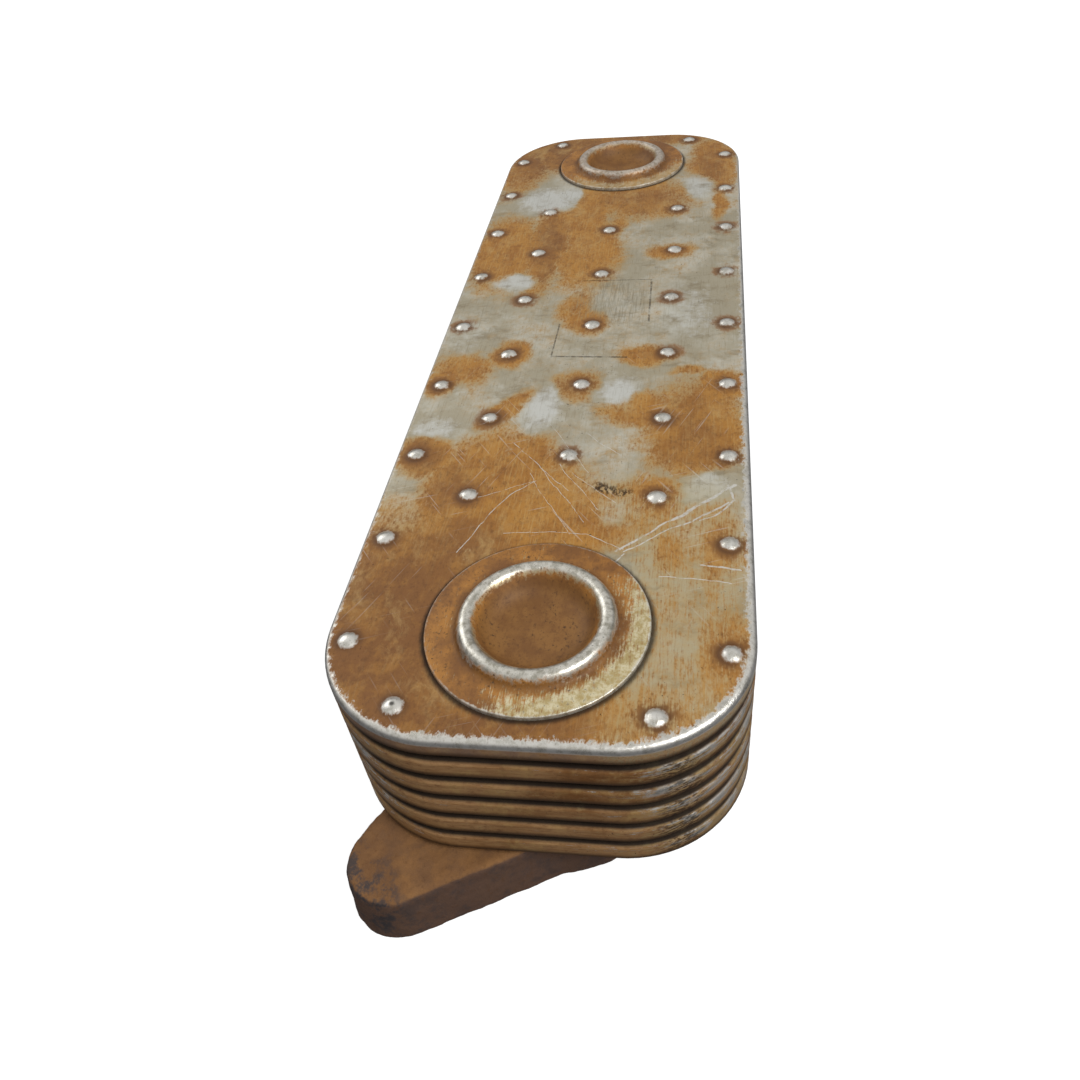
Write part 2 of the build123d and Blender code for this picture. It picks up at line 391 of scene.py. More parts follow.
scratch_lines = [
    (88, -8, 95, -15, 0.2),
    (95, -15, 104, -20, 0.18),
    (104, -20, 119, -27, 0.17),
    (117, 18, 104, 33, 0.4),
    (104, 33, 92, 47, 0.6),
    (92, 47, 90, 50, 0.8),
    (117, 20, 106, 35, 0.28),
    (106, 35, 97, 48, 0.4),
    (126, 15, 118, 20, 0.25),
    (90, 48, 96, 50, 0.5),
    (96, 50, 102, 44, 0.4),
    (102, 44, 104, 40, 0.3),
    (80, -2, 101, 12, 0.11),
    (82, -7, 106, 8, 0.11),
    (84, -11, 111, 4, 0.1),
    (84, 3, 98, 16, 0.1),
    (111, -14, 110, -2, 0.12),
    (110, -2, 111, 9, 0.12),
    (111, 9, 116, 20, 0.14),
    (122, 41, 123, 51, 0.35),
    (127, 30, 128, 48, 0.2),
    (96, -24, 88, -8, 0.1),
    (60, -8, 84, 8, 0.1),
    (70, -18, 92, 2, 0.13),
    (64, 4, 76, 16, 0.14),
]
# A worn printed frame, with nothing left to read in it.
print_lines = [
    (-33, 20, -2, 20.5, 0.5),
    (20.5, -12.5, 21.5, 14, 0.6),
    (-33, -9, -33, 20, 0.35),
    (-1, -12.2, 21, -12.6, 0.4),
]


def warp(tree, point, size, reach):
    """Moves each point about by a smooth noise, so that what is drawn with it has ragged edges."""
    noisy = add(
        tree,
        "TexNoise",
        {"Vector": vectors(tree, "MULTIPLY", point, [1 / size] * 3), "Scale": 1.0, "Detail": 5.0},
    ).outputs["Color"]
    centred = vectors(tree, "SUBTRACT", noisy, (0.5, 0.5, 0.5))
    return vectors(tree, "ADD", point, vectors(tree, "MULTIPLY", centred, [2 * reach] * 3))


def separate(tree, point):
    """The x, y and z of a point."""
    return add(tree, "SeparateXYZ", (point,)).outputs


def sheet_distance(tree, x, y):
    """How far a point lies inside the core's rounded outline, in millimetres."""
    radius = corner_radius / mm
    past_x = sums(tree, "SUBTRACT", sums(tree, "ABSOLUTE", x), half_length / mm - radius)
    past_y = sums(tree, "SUBTRACT", sums(tree, "ABSOLUTE", y), half_width / mm - radius)
    corner = add(
        tree,
        "CombineXYZ",
        (sums(tree, "MAXIMUM", past_x, 0.0), sums(tree, "MAXIMUM", past_y, 0.0), 0.0),
    ).outputs[0]
    straight = sums(tree, "MINIMUM", sums(tree, "MAXIMUM", past_x, past_y), 0.0)
    outside = sums(tree, "ADD", vectors(tree, "LENGTH", corner), straight)
    return sums(tree, "SUBTRACT", radius, outside)


def port_distance(tree, x, y):
    """Distance to the nearer port's axis, in millimetres."""
    from_port = sums(tree, "SUBTRACT", sums(tree, "ABSOLUTE", x), port_x / mm)
    return vectors(tree, "LENGTH", add(tree, "CombineXYZ", (from_port, y)).outputs[0])


def dimple_distance(tree, x, y):
    """Distance to the nearest dimple's centre, in millimetres, and far away round the ports."""
    pitch = dimple_pitch / mm
    side_y = sums(tree, "ABSOLUTE", y)
    near_x = sums(tree, "PINGPONG", x, pitch / 2)
    between_x = sums(tree, "SUBTRACT", pitch / 2, near_x)
    outer_y = sums(tree, "ABSOLUTE", sums(tree, "SUBTRACT", side_y, outer_column / mm))
    straight_y = sums(tree, "MINIMUM", side_y, outer_y)
    inner_y = sums(tree, "SUBTRACT", side_y, inner_column / mm)
    inner_y = sums(tree, "ADD", inner_y, ramp(tree, sums(tree, "ABSOLUTE", x), 104, 112, 0, 40))
    corner_x = sums(tree, "SUBTRACT", sums(tree, "ABSOLUTE", x), corner_dimple[0] / mm)
    corner_y = sums(tree, "SUBTRACT", side_y, corner_dimple[1] / mm)
    reach = []
    for along, sideways in ((near_x, straight_y), (between_x, inner_y), (corner_x, corner_y)):
        reach.append(vectors(tree, "LENGTH", add(tree, "CombineXYZ", (along, sideways)).outputs[0]))
    nearest = sums(tree, "MINIMUM", sums(tree, "MINIMUM", reach[0], reach[1]), reach[2])
    return sums(tree, "ADD", nearest, ramp(tree, port_distance(tree, x, y), 30, 36, 20, 0))


def fine_scratches(tree, point, x):
    """Hair-thin scratches in three directions, most of them round the front port."""
    near_front = ramp(tree, x, -40, 90, 0.12, 1)
    near_front = times(tree, near_front, ramp(tree, x, 120, 150, 1, 0.3))
    masks = []
    for turn, offset in ((24, 0), (-38, 31), (71, 77)):
        turned = add(
            tree,
            "VectorRotate",
            {"Vector": point, "Angle": math.radians(turn)},
            rotation_type="Z_AXIS",
        ).outputs[0]
        turned = vectors(tree, "ADD", turned, (offset, 0, 0))
        hairs = blotches(tree, turned, 0.8, detail=1.0, rough=0.4, stretch=(0.03, 1, 0))
        zone = ramp(tree, blotches(tree, turned, 22, detail=2), 0.5, 0.62)
        masks.append(times(tree, ramp(tree, hairs, 0.66, 0.72), zone))
    return times(tree, strongest(tree, masks), times(tree, near_front, 0.3))


def stained_sheet(name, is_top):
    """The shells' material. The top sheet has its own stains, the others an even brown film."""
    material, tree, shader, point = new_material(name)
    shader.inputs["Specular IOR Level"].default_value = 0.3
    x, y, z = separate(tree, point)
    wavy = warp(tree, warp(tree, point, 14, 5), 3, 1.3)
    cloud = blotches(tree, point, 20, detail=6, rough=0.62)
    shade = blotches(tree, point, 9, detail=6, rough=0.68)
    grain = blotches(tree, point, 2.4, detail=6, rough=0.72)
    along = (0.5, 1, 1) if is_top else (0.4, 0.4, 1.4)
    fleck = blotches(tree, point, 0.8, detail=4, rough=0.62, stretch=along)
    along = (0.1, 1.5, 1) if is_top else (0.1, 0.1, 1.5)
    brushed = blotches(tree, point, 0.8, detail=5, rough=0.72, stretch=along)
    inside = sheet_distance(tree, x, y)
    level = sums(tree, "MODULO", sums(tree, "SUBTRACT", z, bottom_of_core / mm), element_step / mm)

    # How much of the surface the rust film covers, before its edge breaks up into flecks.
    if is_top:
        rust = patches(tree, wavy, rust_ovals)
        bare = patches(tree, wavy, bare_ovals)
        brown = patches(tree, wavy, brown_ovals)
        rubbed = ramp(tree, patches(tree, wavy, rubbed_ovals), 0.15, 0.7)
        cover = sums(tree, "MULTIPLY_ADD", rust, 1.25, times(tree, bare, -1.0))
        cover = float_mix(tree, rubbed, cover, sums(tree, "MULTIPLY_ADD", cover, 0.5, 0.3))
    else:
        rubbed = 0.0
        bare = 0.0
        brown = ramp(tree, blotches(tree, point, 45, detail=3), 0.42, 0.62)
        worn = patches(tree, point, [(166, 44, 26, 15, -40, 1), (164, -46, 22, 12, 40, 0.75)])
        cover = sums(tree, "MULTIPLY_ADD", worn, -0.45, 1.05)
    cover = roughen(tree, cover, (cloud, 1.2), (shade, 0.8), (grain, 0.8))
    broken = sums(tree, "MULTIPLY_ADD", fleck, 1.5, -0.75)
    strokes = sums(tree, "MULTIPLY_ADD", brushed, 3.0, -1.5)
    share = sums(tree, "MULTIPLY_ADD", rubbed, 0.7, 0.2) if is_top else 0.5
    broken = sums(tree, "ADD", broken, times(tree, strokes, share))
    film = ramp(tree, sums(tree, "ADD", cover, broken), 0.16, 0.86)
    thin = ramp(tree, cover, -0.15, 0.6, 0, 0.8)

    metal = blend(tree, ramp(tree, cloud, 0.42, 0.66), bare_sheet, pale_sheet)
    if is_top:
        patchy = sums(tree, "MULTIPLY_ADD", grain, 1.6, times(tree, bare, 1.1))
        metal = blend(tree, ramp(tree, patchy, 1.0, 1.9), metal, silver_sheet)
        metal = blend(tree, times(tree, rubbed, 0.6), metal, olive_sheet)
    metal = blend(tree, ramp(tree, shade, 0.5, 0.8, 0, 0.5), metal, drab_sheet)
    metal = blend(tree, ramp(tree, brushed, 0.5, 0.72, 0, 0.4), metal, drab_sheet)
    veil = blotches(tree, warp(tree, point, 10, 4), 6, detail=6, rough=0.7, stretch=(1, 0.4, 1))
    metal = blend(tree, ramp(tree, veil, 0.5, 0.7, 0, 0.55), metal, drab_sheet)
    metal = blend(tree, thin, metal, thin_film)
    rusty = blend(tree, ramp(tree, shade, 0.36, 0.6), orange_film, ochre_film)
    rusty = blend(tree, ramp(tree, brushed, 0.48, 0.66, 0, 0.5), rusty, thin_film)
    if not is_top:
        streak = blend(tree, shade, side_film, brown_film)
        rusty = blend(tree, ramp(tree, brushed, 0.4, 0.62), side_film, streak)
    brown = times(tree, brown, ramp(tree, shade, 0.44, 0.62, 1, 0.6))
    rusty = blend(tree, brown, rusty, brown_film)
    rusty = blend(tree, ramp(tree, grain, 0.5, 0.74, 0, 0.45), rusty, dark_film)
    rusty = blend(tree, ramp(tree, fleck, 0.52, 0.7, 0, 0.4), rusty, dark_film)
    haze = blotches(tree, warp(tree, point, 12, 6), 11, detail=7, rough=0.74, stretch=(0.5, 1, 1))
    rusty = blend(tree, ramp(tree, haze, 0.5, 0.72, 0, 0.6), rusty, thin_film)
    rusty = blend(tree, ramp(tree, haze, 0.28, 0.44, 0.5, 0), rusty, brown_film)
    colour = blend(tree, film, metal, rusty)
    if is_top:
        # The film is thinner and greyer where a printed panel used to be.
        panel = patches(tree, warp(tree, point, 5, 1.5), [(-17, 6, 17, 15, 0, 1)])
        panel = times(tree, ramp(tree, panel, 0.1, 0.7), ramp(tree, brushed, 0.42, 0.6))
        colour = blend(tree, times(tree, panel, 0.4), colour, paint(112, 104, 86))

    # Rust rings round the dimples, whose tips are rubbed bright, and painted shade in the crease at each
    # dimple's foot.
    tip_distance = dimple_distance(tree, x, y)
    near_x, near_y, _ = separate(tree, warp(tree, point, 7, 2.0) if is_top else point)
    ring = ramp(tree, dimple_distance(tree, near_x, near_y), 3.0, 8.5, 1, 0)
    ring = times(tree, ring, ramp(tree, shade, 0.36, 0.58, 0.35, 1.0))
    ring = sums(tree, "ADD", ring, times(tree, broken, 0.4))
    ring = ramp(tree, ring, 0.2, 0.85, 0, 0.85)
    halo = blend(tree, ramp(tree, tip_distance, 3.0, 6.5), dark_film, orange_film)
    halo = blend(tree, 0.5, halo, brown_film)
    halo = blend(tree, ramp(tree, fleck, 0.52, 0.7, 0, 0.4), halo, dark_film)
    colour = blend(tree, ring, colour, halo)
    # Painted shade in the crease round each dimple's foot, stronger in places.
    dimple_foot_shade = ramp(tree, tip_distance, 2.3, 3.0)
    dimple_foot_shade = times(tree, dimple_foot_shade, ramp(tree, tip_distance, 3.0, 4.4, 1, 0))
    dimple_foot_shade = times(tree, dimple_foot_shade, ramp(tree, shade, 0.4, 0.6, 0.3, 0.75))
    colour = blend(tree, dimple_foot_shade, colour, dark_film)

    # Bright bare metal: dimple tips, rim and scratches.
    tip = ramp(tree, roughen(tree, tip_distance, (fleck, 1.6), (shade, 3)), 2.0, 2.9, 1, 0)
    if is_top:
        # The front end and the right side are worn most.
        side = sums(tree, "MULTIPLY_ADD", x, 0.0065, times(tree, y, 0.012))
        reach = ramp(tree, side, -0.4, 1.4, 0.4, 1.9)
        ragged = sums(tree, "MULTIPLY_ADD", grain, 7, sums(tree, "MULTIPLY_ADD", fleck, 4, -5.5))
        ragged = times(tree, ragged, ramp(tree, inside, 0.5, 1.8))
        edge = sums(tree, "ADD", sums(tree, "SUBTRACT", inside, reach), ragged)
        rim = ramp(tree, edge, -0.5, 1.0, 1, 0)
        marks = scratches(tree, warp(tree, point, 16, 2.4), scratch_lines)
        marks = times(tree, marks, ramp(tree, grain, 0.36, 0.52, 0.1, 0.85))
        bright = strongest(tree, [tip, rim, marks, fine_scratches(tree, point, x)])
        low = ramp(tree, z, top_of_core / mm - 2.6, top_of_core / mm - 1.5)
        bright = times(tree, bright, sums(tree, "MAXIMUM", low, 0.12))
    else:
        rub = sums(tree, "MULTIPLY_ADD", worn, 0.6, sums(tree, "MULTIPLY_ADD", brushed, 2.8, -1.4))
        rub = sums(tree, "ADD", rub, sums(tree, "MULTIPLY_ADD", shade, 2.6, -1.3))
        crest = times(tree, ramp(tree, level, 3.0, 4.6), ramp(tree, inside, 0.2, 1.1, 1, 0))
        rub = times(tree, ramp(tree, rub, 0.42, 0.8, 0, 0.9), crest)
        bright = sums(tree, "MAXIMUM", tip, rub)
    steel = blend(tree, ramp(tree, grain, 0.36, 0.56), dull_steel, bright_steel)
    steel = blend(tree, ramp(tree, fleck, 0.58, 0.7, 0, 0.35), steel, drab_sheet)
    colour = blend(tree, bright, colour, steel)

    # Pits, dark oily spots, what is left of the print, painted shade in the gaps, and round each cap's
    # foot a ring of grime and painted shadow.
    speck = ramp(tree, blotches(tree, point, 0.9, detail=4, rough=0.66), 0.64, 0.71)
    spot_zone = ramp(tree, blotches(tree, point, 24, detail=3), 0.42, 0.6, 0.15, 1.0)
    dirt_and_shade = times(tree, speck, spot_zone)
    oily = [(90, 14, 4, 2.2, 55, 1), (93, 18, 3, 1.6, 60, 0.9)] if is_top else [(177, 38, 6, 8, 0, 0.8)]
    oil = patches(tree, wavy, oily)
    oil = times(tree, oil, ramp(tree, fleck, 0.42, 0.56, 0, 0.9))
    dirt_and_shade = sums(tree, "MAXIMUM", dirt_and_shade, oil)
    if is_top:
        printed = scratches(tree, point, print_lines)
        printed = times(tree, printed, ramp(tree, grain, 0.36, 0.54, 0.1, 0.7))
        # A dark ring round each cap's foot: painted shadow of the cap's edge, with some grime.
        reach = roughen(tree, port_distance(tree, x, y), (fleck, 1.0))
        dirt_and_shade = strongest(tree, [dirt_and_shade, printed, ramp(tree, reach, 29.4, 30.9, 0.85, 0)])
        # The front left corner's dimple has a pit burnt into its tip.
        pit = patches(tree, point, [(corner_dimple[0] / mm, -corner_dimple[1] / mm, 0.7, 0.7, 0, 0.85)])
        dirt_and_shade = sums(tree, "MAXIMUM", dirt_and_shade, pit)
    else:
        # Painted shade: near-black inside the gaps between the elements, but not on the core's underside.
        above = ramp(tree, z, bottom_of_core / mm + 1, bottom_of_core / mm + 2.5)
        gap_shade = times(tree, ramp(tree, inside, 0.15, 1.0), above)
        dirt_and_shade = sums(tree, "MAXIMUM", dirt_and_shade, times(tree, gap_shade, 0.94))
    # Painted shade: the colour darkens towards the open lower edge of every skirt, beside the gaps.
    colour = blend(tree, ramp(tree, level, 1.0, 3.2, 0.95, 0), colour, skirt_shade_brown)
    colour = blend(tree, dirt_and_shade, colour, soot_and_shade)
    tree.links.new(colour, shader.inputs["Base Color"])

    clear = strongest(tree, [times(tree, film, 0.9), ring, dirt_and_shade])
    clear = sums(tree, "SUBTRACT", 1.0, clear)
    shine = sums(tree, "MAXIMUM", bright, times(tree, clear, 0.6))
    tree.links.new(float_mix(tree, shine, 0.05, 0.85), shader.inputs["Metallic"])
    gloss = float_mix(tree, shine, 0.55, float_mix(tree, bright, 0.46, 0.3))
    gloss = roughen(tree, gloss, (grain, 0.2))
    gloss = sums(tree, "ADD", gloss, times(tree, dirt_and_shade, 0.3))
    tree.links.new(gloss, shader.inputs["Roughness"])
    relief = sums(tree, "MULTIPLY_ADD", brushed, 0.25, times(tree, grain, 0.35))
    crust = sums(tree, "MULTIPLY_ADD", film, 0.3, times(tree, fleck, 0.3))
    relief = sums(tree, "ADD", relief, crust)
    relief = sums(tree, "SUBTRACT", relief, times(tree, speck, 0.3))
    height_to_bump(tree, shader, relief, 0.06)
    return material


top_sheet = stained_sheet("stained_stainless_top", True)
side_sheet = stained_sheet("stained_stainless", False)

# --- Element shells -------------------------------------------------------------------------
# Each element is a pair of pans pressed from 0.8 mm stainless sheet: a lid with a skirt, and a
# pan nested in it. Both have dimples that touch the next element's, and a hole at each port.

sheet = 0.8 * mm
edge_round = 1.6 * mm
nest = 0.85 * mm  # the lower pan stands this far inside the lid's skirt
port_hole_radius = 15.5 * mm
corner_steps = 20
round_steps = 6
flat_margin = 0.25 * mm  # plain sheet between the rounded rim and the nearest dimples
# Profile of a dimple from its foot to its tip: radius and height in millimetres.
dimple_profile = [
    (3.5, 0.0),
    (3.3, 0.02),
    (3.0, 0.12),
    (2.6, 0.32),
    (2.15, 0.58),
    (1.6, 0.86),
    (1.0, 1.04),
    (0.45, 1.1),
]
dimple_sides = 24


def pick(kind, wanted):
    """In edit mode, selects only the vertices, edges or faces that pass a test."""
    bpy.ops.mesh.select_mode(type=kind)
    bpy.ops.mesh.select_all(action="DESELECT")
    mesh = bmesh.from_edit_mesh(bpy.context.object.data)
    items = {"VERT": mesh.verts, "EDGE": mesh.edges, "FACE": mesh.faces}[kind]
    for item in items:
        if wanted(item):
            item.select_set(True)
    mesh.select_flush_mode()
    bmesh.update_edit_mesh(bpy.context.object.data)


def step_in(thickness, depth=0.0):
    """Insets the selected faces and lifts the inner ones."""
    bpy.ops.mesh.inset(thickness=thickness, depth=depth, use_even_offset=True)


def height_of(item):
    return sum(vertex.co.z for vertex in item.verts) / len(item.verts)


def dimple_centres():
    """Five staggered columns of dimples that keep clear of the port caps, and four in the corners."""
    centres = []
    for row in range(-4, 5):
        for column in (-outer_column, 0, outer_column):
            centres.append((row * dimple_pitch, column))
    for row in range(-3, 3):
        for column in (-inner_column, inner_column):
            centres.append(((row + 0.5) * dimple_pitch, column))
    clear_radius = 35.3 * mm
    centres = [(x, y) for x, y in centres if math.hypot(abs(x) - port_x, y) > clear_radius]
    for x_side in (-1, 1):
        for y_side in (-1, 1):
            centres.append((x_side * corner_dimple[0], y_side * corner_dimple[1]))
    return centres


def select_only(piece):
    """Selects one piece and makes it the active one."""
    bpy.ops.object.select_all(action="DESELECT")
    piece.select_set(True)
    bpy.context.view_layer.objects.active = piece


def finish_mesh(piece, angle):
    """Smooth shading up to an angle, with everything deselected for the next piece."""
    select_only(piece)
    bpy.ops.object.shade_smooth_by_angle(angle=math.radians(angle))
    bpy.ops.object.select_all(action="DESELECT")


def apply_modifier(piece, kind, **settings):
    """Adds a modifier with its settings and applies it."""
    select_only(piece)
    modifier = piece.modifiers.new(kind.lower(), kind)
    for name, value in settings.items():
        setattr(modifier, name, value)
    bpy.ops.object.modifier_apply(modifier=modifier.name)
    bpy.ops.object.select_all(action="DESELECT")


def pressed_pan(name, inset, wall_height):
    """A dimpled pan with its open edge on z = 0 and its dimples up, before it is put in place."""
    length, width = half_length - inset, half_width - inset
    radius = corner_radius - inset
    bpy.ops.mesh.primitive_plane_add(size=2, location=(0, 0, 0))
    pan = bpy.context.object
    pan.name = name
    bpy.ops.object.mode_set(mode="EDIT")
    bpy.ops.mesh.select_all(action="SELECT")
    bpy.ops.transform.resize(value=(length, width, 1), center_override=(0, 0, 0))
    bpy.ops.mesh.bevel(
        offset=radius, offset_type="OFFSET", segments=corner_steps, profile=0.5, affect="VERTICES"
    )
    bpy.ops.mesh.select_all(action="SELECT")
    lift = {"value": (0, 0, wall_height - edge_round)}
    bpy.ops.mesh.extrude_region_move(TRANSFORM_OT_translate=lift)
    for step in range(round_steps):
        low, high = (math.pi / 2 * share / round_steps for share in (step, step + 1))
        inwards = edge_round * (math.cos(low) - math.cos(high))
        upwards = edge_round * (math.sin(high) - math.sin(low))
        step_in(inwards, upwards)
    step_in(flat_margin)
    bpy.ops.mesh.delete(type="ONLY_FACE")
    pick("FACE", lambda face: height_of(face) < 1e-6)
    bpy.ops.mesh.delete(type="ONLY_FACE")

    foot = dimple_profile[0][0] * mm
    for x, y in dimple_centres():
        bpy.ops.mesh.primitive_circle_add(
            vertices=dimple_sides, radius=foot, fill_type="NGON", location=(x, y, wall_height)
        )
    for x in (-port_x, port_x):
        bpy.ops.mesh.primitive_circle_add(
            vertices=64, radius=port_hole_radius, fill_type="NOTHING", location=(x, 0, wall_height)
        )
    pick("FACE", lambda face: len(face.verts) == dimple_sides)
    for (outer, low), (inner, high) in zip(dimple_profile, dimple_profile[1:]):
        apothem = math.cos(math.pi / dimple_sides)
        step_in((outer - inner) * mm * apothem, (high - low) * mm)
    pick("EDGE", lambda edge: edge.is_boundary and abs(height_of(edge) - wall_height) < 1e-6)
    rings = bmesh.from_edit_mesh(pan.data)
    for edge in rings.edges:
        if edge.is_wire and abs(height_of(edge) - wall_height) < 1e-6:
            edge.select_set(True)
    bmesh.update_edit_mesh(pan.data)
    bpy.ops.mesh.fill(use_beauty=True)
    bpy.ops.mesh.select_all(action="SELECT")
    bpy.ops.mesh.remove_doubles(threshold=1e-6)
    bpy.ops.mesh.normals_make_consistent(inside=False)
    bpy.ops.object.mode_set(mode="OBJECT")
    return pan


def placed_copy(original, name, z, upside_down=False):
    """A copy of a pan with its own mesh, put at its height."""
    piece = original.copy()
    piece.data = original.data.copy()
    piece.name = name
    bpy.context.scene.collection.objects.link(piece)
    select_only(piece)
    bpy.ops.object.mode_set(mode="EDIT")
    bpy.ops.mesh.select_all(action="SELECT")
    if upside_down:
        bpy.ops.transform.resize(value=(1, 1, -1), center_override=(0, 0, 0))
        bpy.ops.mesh.normals_make_consistent(inside=False)
    bpy.ops.transform.translate(value=(0, 0, z))
    bpy.ops.object.mode_set(mode="OBJECT")
    apply_modifier(piece, "SOLIDIFY", thickness=sheet, offset=-1, use_even_offset=True)
    finish_mesh(piece, 40)
    return piece


lid_low, lid_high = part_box("element_1_upper_shell")
pan_low, pan_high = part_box("element_1_lower_shell")
lid_form = pressed_pan("lid_form", 0.0, lid_high.z - dimple_height - lid_low.z)
pan_form = pressed_pan("pan_form", nest, pan_high.z - pan_low.z - dimple_height)
for number in range(1, 7):
    lid_node, pan_node = f"element_{number}_upper_shell", f"element_{number}_lower_shell"
    lid = placed_copy(lid_form, f"element_{number}_lid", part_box(lid_node)[0].z)
    lower = placed_copy(pan_form, f"element_{number}_pan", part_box(pan_node)[1].z, upside_down=True)
    for piece, node, finish in (
        (lid, lid_node, top_sheet if number == 6 else side_sheet),
        (lower, pan_node, side_sheet),
    ):
        piece.data.materials.append(finish)
        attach(piece, "root")
        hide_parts(node)
for form in (lid_form, pan_form):
    bpy.data.objects.remove(form)

# --- Port caps ------------------------------------------------------------------------------
# A pressed stainless cap closes each port on top: a flat rim brazed to the sheet, a rounded
# bead that takes the knocks, and a bowl sunk into the port hole.

cap_thickness = 1.1 * mm
# Upper surface from the rim inwards: radius and height above the top sheet in millimetres.
cap_profile = [
    (29.0, 0.95),
    (28.9, 1.13),
    (28.7, 1.2),
    (22.4, 1.2),
    (21.7, 1.3),
    (21.1, 1.65),
    (20.7, 2.2),
    (20.4, 2.85),
    (20.0, 3.5),
    (19.5, 4.0),
    (18.9, 4.3),
    (18.2, 4.4),
    (17.5, 4.3),
    (16.9, 4.0),
    (16.3, 3.4),
    (15.7, 2.6),
    (15.0, 1.6),
    (14.2, 0.5),
    (13.3, -0.5),
    (12.2, -1.3),
    (10.8, -1.85),
    (9.0, -2.2),
    (6.5, -2.36),
    (3.5, -2.4),
]
bead_crest = 18.2  # radius of the bead's highest ring in millimetres
cap_sides = 96


def worn_cap(name, x, worn_way, wear):
    """The caps' material: brown film, rubbed off the bead's crest and off one side of the rim."""
    material, tree, shader, point = new_material(name)
    shader.inputs["Specular IOR Level"].default_value = 0.3
    from_port = vectors(tree, "SUBTRACT", point, (x / mm, 0, top_of_core / mm))
    radius = vectors(tree, "LENGTH", vectors(tree, "MULTIPLY", from_port, (1, 1, 0)))
    cloud = blotches(tree, point, 11, detail=6, rough=0.65)
    grain = blotches(tree, point, 2.0, detail=6, rough=0.72)
    fleck = blotches(tree, point, 0.8, detail=4, rough=0.62, stretch=(0.5, 1, 1))
    brushed = blotches(tree, point, 0.8, detail=5, rough=0.72, stretch=(0.12, 1.5, 1))

    # The rim is bare on its worn side, most of all at its edge.
    towards = [part / cap_profile[0][0] for part in (*worn_way, 0)]
    towards = vectors(tree, "DOT_PRODUCT", from_port, towards)
    bare = ramp(tree, radius, 20.4, 26.5, 0.2, 1.15)
    bare = times(tree, ramp(tree, towards, -0.1, 0.8), bare)
    bare = roughen(tree, bare, (cloud, 1.3), (grain, 0.8), (fleck, 1.4), (brushed, 2.6))
    bare = times(tree, ramp(tree, bare, 0.3, 1.05), ramp(tree, radius, 20.2, 22))
    bare = times(tree, bare, wear)
    rusty = blend(tree, ramp(tree, cloud, 0.36, 0.64), brown_film, paint(154, 106, 50))
    bowl = blend(tree, ramp(tree, cloud, 0.38, 0.6), paint(106, 72, 38), paint(122, 86, 46))
    rusty = blend(tree, ramp(tree, radius, 14.2, 16.0, 1, 0), rusty, bowl)
    rusty = blend(tree, ramp(tree, grain, 0.52, 0.72, 0, 0.5), rusty, dark_film)
    rusty = blend(tree, ramp(tree, fleck, 0.52, 0.7, 0, 0.4), rusty, dark_film)
    foot = times(tree, ramp(tree, radius, 20.0, 20.8), ramp(tree, radius, 21.2, 24, 1, 0))
    rusty = blend(tree, times(tree, foot, 0.5), rusty, dark_film)
    metal = blend(tree, ramp(tree, grain, 0.4, 0.6), paint(164, 146, 102), paint(196, 186, 154))
    colour = blend(tree, bare, rusty, metal)

    off_crest = sums(tree, "ABSOLUTE", sums(tree, "SUBTRACT", radius, bead_crest))
    off_crest = roughen(tree, off_crest, (cloud, 2.4), (grain, 3.2), (fleck, 1.6))
    crest = ramp(tree, off_crest, 1.4, 2.6, 1, 0)
    edge = ramp(tree, roughen(tree, radius, (grain, 1.6)), 28.4, 28.9, 0, 0.8)
    edge = times(tree, edge, ramp(tree, towards, -0.4, 0.5, 0.3, 1))
    bright = times(tree, sums(tree, "MAXIMUM", crest, edge), 0.3 + 0.7 * wear)
    steel = blend(tree, ramp(tree, grain, 0.36, 0.6), paint(150, 146, 134), paint(204, 201, 192))
    steel = blend(tree, ramp(tree, radius, 16.0, 17.0, 0.8, 0), steel, paint(176, 160, 122))
    colour = blend(tree, bright, colour, steel)
    pits = ramp(tree, blotches(tree, point, 1.0, detail=5, rough=0.7), 0.56, 0.68, 0, 0.75)
    pits = times(tree, pits, ramp(tree, cloud, 0.4, 0.6, 0.15, 1))
    colour = blend(tree, pits, colour, soot_and_shade)
    tree.links.new(colour, shader.inputs["Base Color"])

    shine = sums(tree, "MAXIMUM", bright, times(tree, bare, 0.6))
    shine = times(tree, shine, sums(tree, "SUBTRACT", 1.0, pits))
    tree.links.new(float_mix(tree, shine, 0.05, 0.85), shader.inputs["Metallic"])
    gloss = float_mix(tree, shine, 0.56, float_mix(tree, bright, 0.46, 0.32))
    tree.links.new(gloss, shader.inputs["Roughness"])
    relief = sums(tree, "MULTIPLY_ADD", grain, 0.5, times(tree, pits, -0.6))
    height_to_bump(tree, shader, relief, 0.07)
    return material


